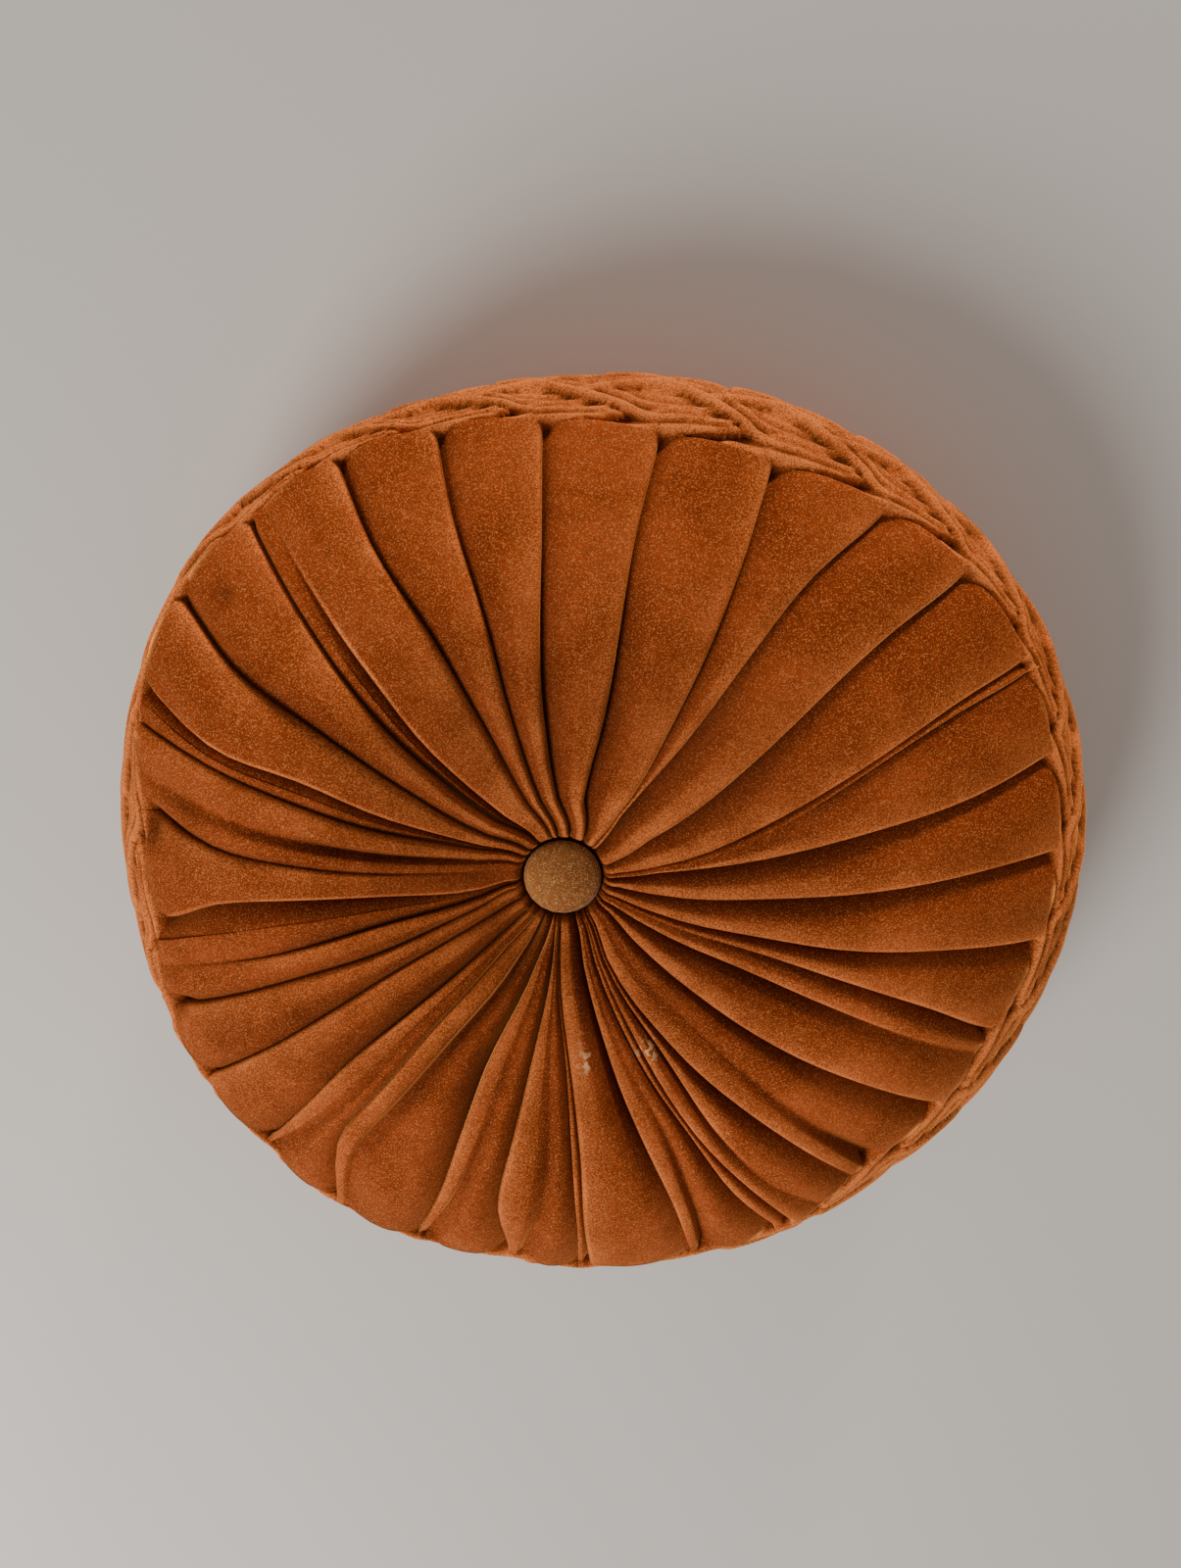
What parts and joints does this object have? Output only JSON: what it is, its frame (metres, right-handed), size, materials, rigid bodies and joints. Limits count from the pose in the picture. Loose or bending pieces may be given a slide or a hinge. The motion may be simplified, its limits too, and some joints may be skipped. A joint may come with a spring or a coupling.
{
  "type": "round cushion",
  "caption": "Round filled cushion in velvet, both faces pleated from a central covered button out to a smocked side.",
  "frame": {"origin": "middle of the cushion's underside, on the surface it lies on", "axes": "+Z out of the face with the button seen in the picture, +X to the right and +Y up on that face"},
  "size_m": [0.4026, 0.3923, 0.1102],
  "materials": {
    "rust_velvet": "short-pile velvet, rust orange",
    "button_cloth": "the same velvet, pulled tight and darker"
  },
  "bodies": {
    "root": {"cushion": "rust_velvet", "button_front": "button_cloth", "button_back": "button_cloth"}
  },
  "joints": []
}
